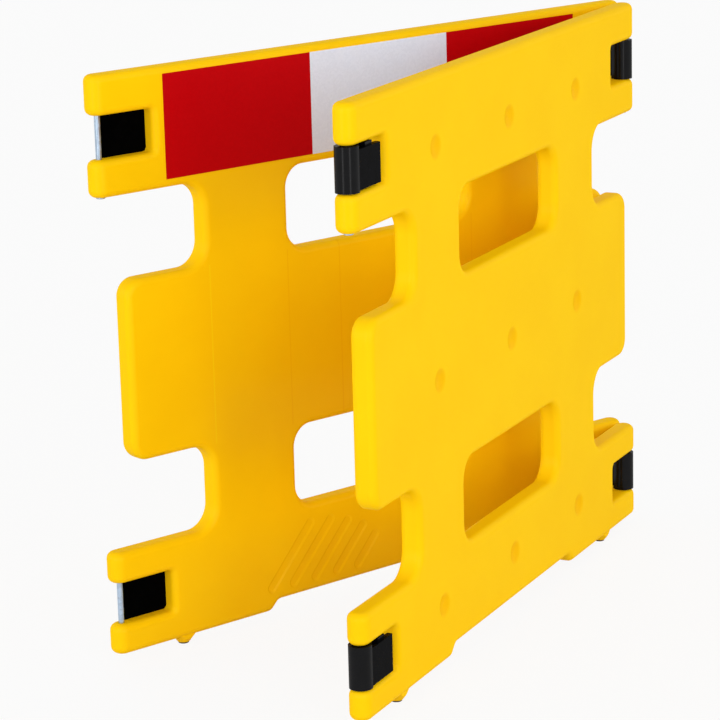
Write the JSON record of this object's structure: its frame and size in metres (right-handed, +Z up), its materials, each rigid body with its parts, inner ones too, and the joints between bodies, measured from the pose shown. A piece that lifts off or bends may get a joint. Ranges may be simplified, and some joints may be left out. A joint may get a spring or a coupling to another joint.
{
  "type": "folding barrier",
  "caption": "Free-standing plastic pedestrian barrier: moulded panels that fold on clip-and-pin hinges, with hand windows, reflective film and rubber feet.",
  "frame": {"origin": "on the floor below the middle of the box, with the V open by about 24 degrees", "axes": "+X along the near panel towards the hinge, +Y from the near panel towards the back panel, +Z up"},
  "size_m": [1.2482, 0.5588, 1.015],
  "materials": {
    "panel": "moulded satin, yellow",
    "film_white": "reflective film, white",
    "film_red": "reflective film, red",
    "rubber": "matte",
    "clip": "moulded, black",
    "steel": "galvanised"
  },
  "bodies": {
    "hinge_link": {"hinge_clip_top": "clip", "hinge_clip_bottom": "clip"},
    "near_panel": {"near_panel": "panel", "near_film_white": "film_white", "near_film_red": "film_red", "near_feet": "rubber", "near_pin_caps": "steel", "near_free_pin_top": "steel", "near_free_pin_bottom": "steel", "near_hinge_pin_top": "steel", "near_hinge_pin_bottom": "steel"},
    "back_panel": {"back_panel": "panel", "back_film_white": "film_white", "back_film_red": "film_red", "back_feet": "rubber", "back_pin_caps": "steel", "back_free_pin_top": "steel", "back_free_pin_bottom": "steel", "back_hinge_pin_top": "steel", "back_hinge_pin_bottom": "steel", "back_stop_plate_top": "clip", "back_stop_plate_bottom": "clip"},
    "free_clip_top": {"free_clip_top": "clip"},
    "free_clip_bottom": {"free_clip_bottom": "clip"}
  },
  "joints": [
    {"name": "hinge_near", "type": "hinge", "parent": "hinge_link", "child": "near_panel", "pos_m": [0.57589, -0.25939, 0.5], "axis": [0, 0, -1], "range_deg": [-123, 15]},
    {"name": "hinge_back", "type": "hinge", "parent": "hinge_link", "child": "back_panel", "pos_m": [0.60411, -0.22056, 0.5], "axis": [0, 0, 1], "range_deg": [-213, 9]},
    {"name": "free_clip_top_swing", "type": "hinge", "parent": "near_panel", "child": "free_clip_top", "pos_m": [-0.60411, -0.25939, 0.91], "axis": [0, 0, -1], "range_deg": [0, 180]},
    {"name": "free_clip_bottom_swing", "type": "hinge", "parent": "near_panel", "child": "free_clip_bottom", "pos_m": [-0.60411, -0.25939, 0.105], "axis": [0, 0, -1], "range_deg": [0, 180]}
  ]
}
